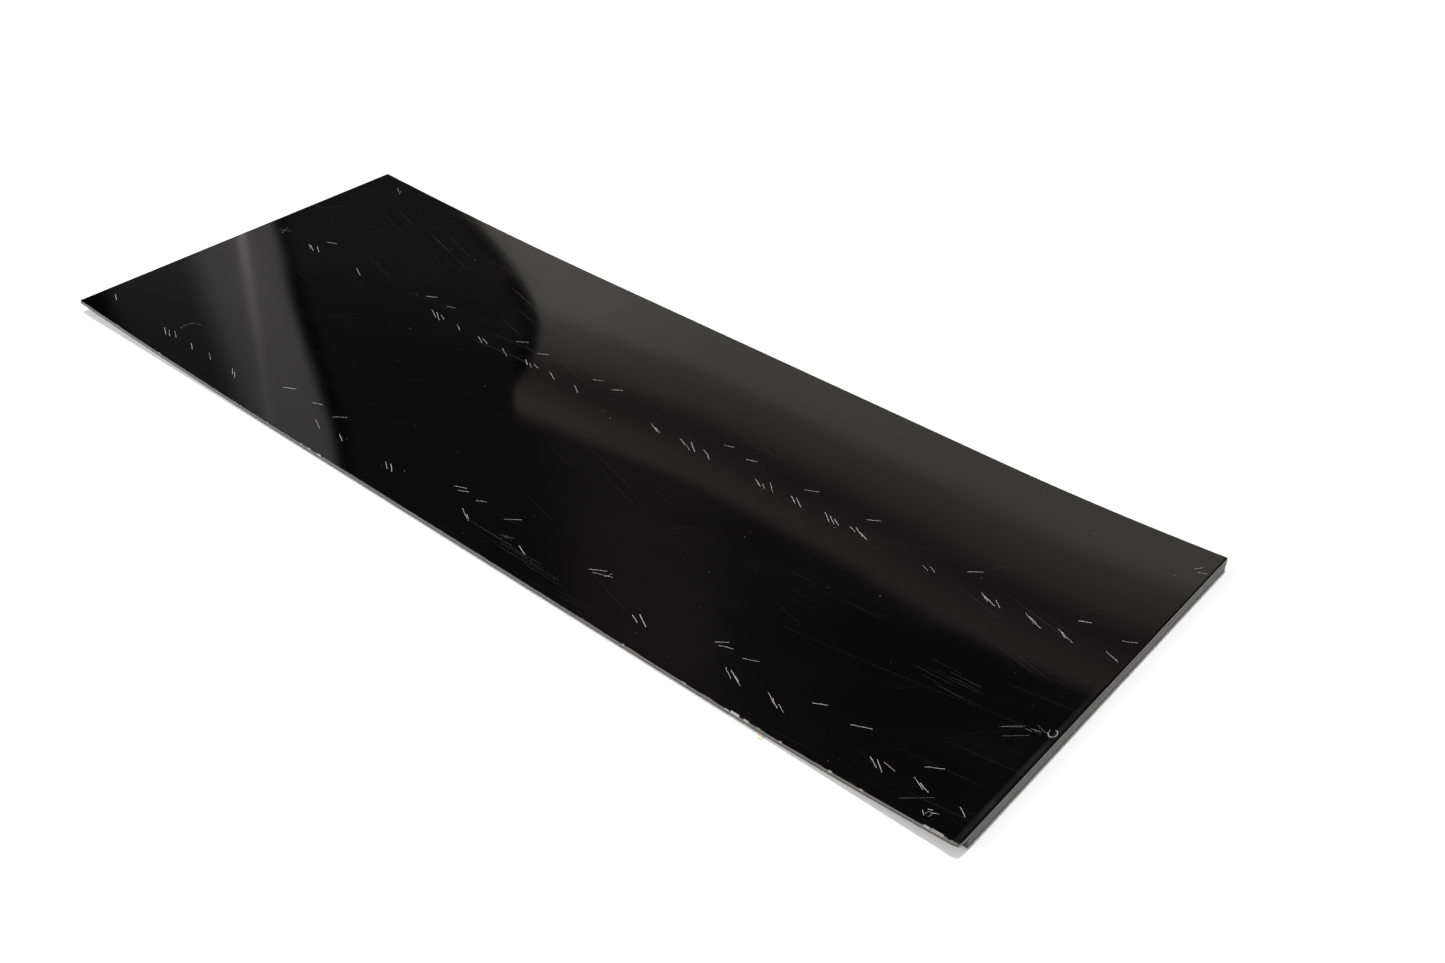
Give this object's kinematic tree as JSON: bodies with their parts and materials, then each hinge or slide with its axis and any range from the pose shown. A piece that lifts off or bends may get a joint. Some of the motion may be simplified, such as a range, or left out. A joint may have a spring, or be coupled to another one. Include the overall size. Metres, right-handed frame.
{
  "type": "door kick plate",
  "caption": "Long rectangular door kick plate: a thin gloss black plastic sheet without screw holes, raised on a stiffening strip under each short end, taped back.",
  "frame": {"origin": "on the surface that the plate lies on, at the middle of the sheet, which is on the underside of the middle liner", "axes": "+X along the length, +Y across from the near long edge to the far one, +Z out of the finished face"},
  "size_m": [0.8128, 0.3078, 0.0107],
  "materials": {
    "face_sheet": "polished, with fine scratches",
    "sawn_plastic": "sawn, matte grey-black",
    "foam_tape": "matte closed-cell foam",
    "release_liner": "waxy, pale yellow"
  },
  "bodies": {
    "root": {"end_strip_left": "sawn_plastic", "end_strip_right": "sawn_plastic", "face_sheet": "face_sheet", "mounting_tape_far": "foam_tape", "mounting_tape_middle": "foam_tape", "mounting_tape_near": "foam_tape", "release_liner_far": "release_liner", "release_liner_middle": "release_liner", "release_liner_near": "release_liner"}
  },
  "joints": []
}
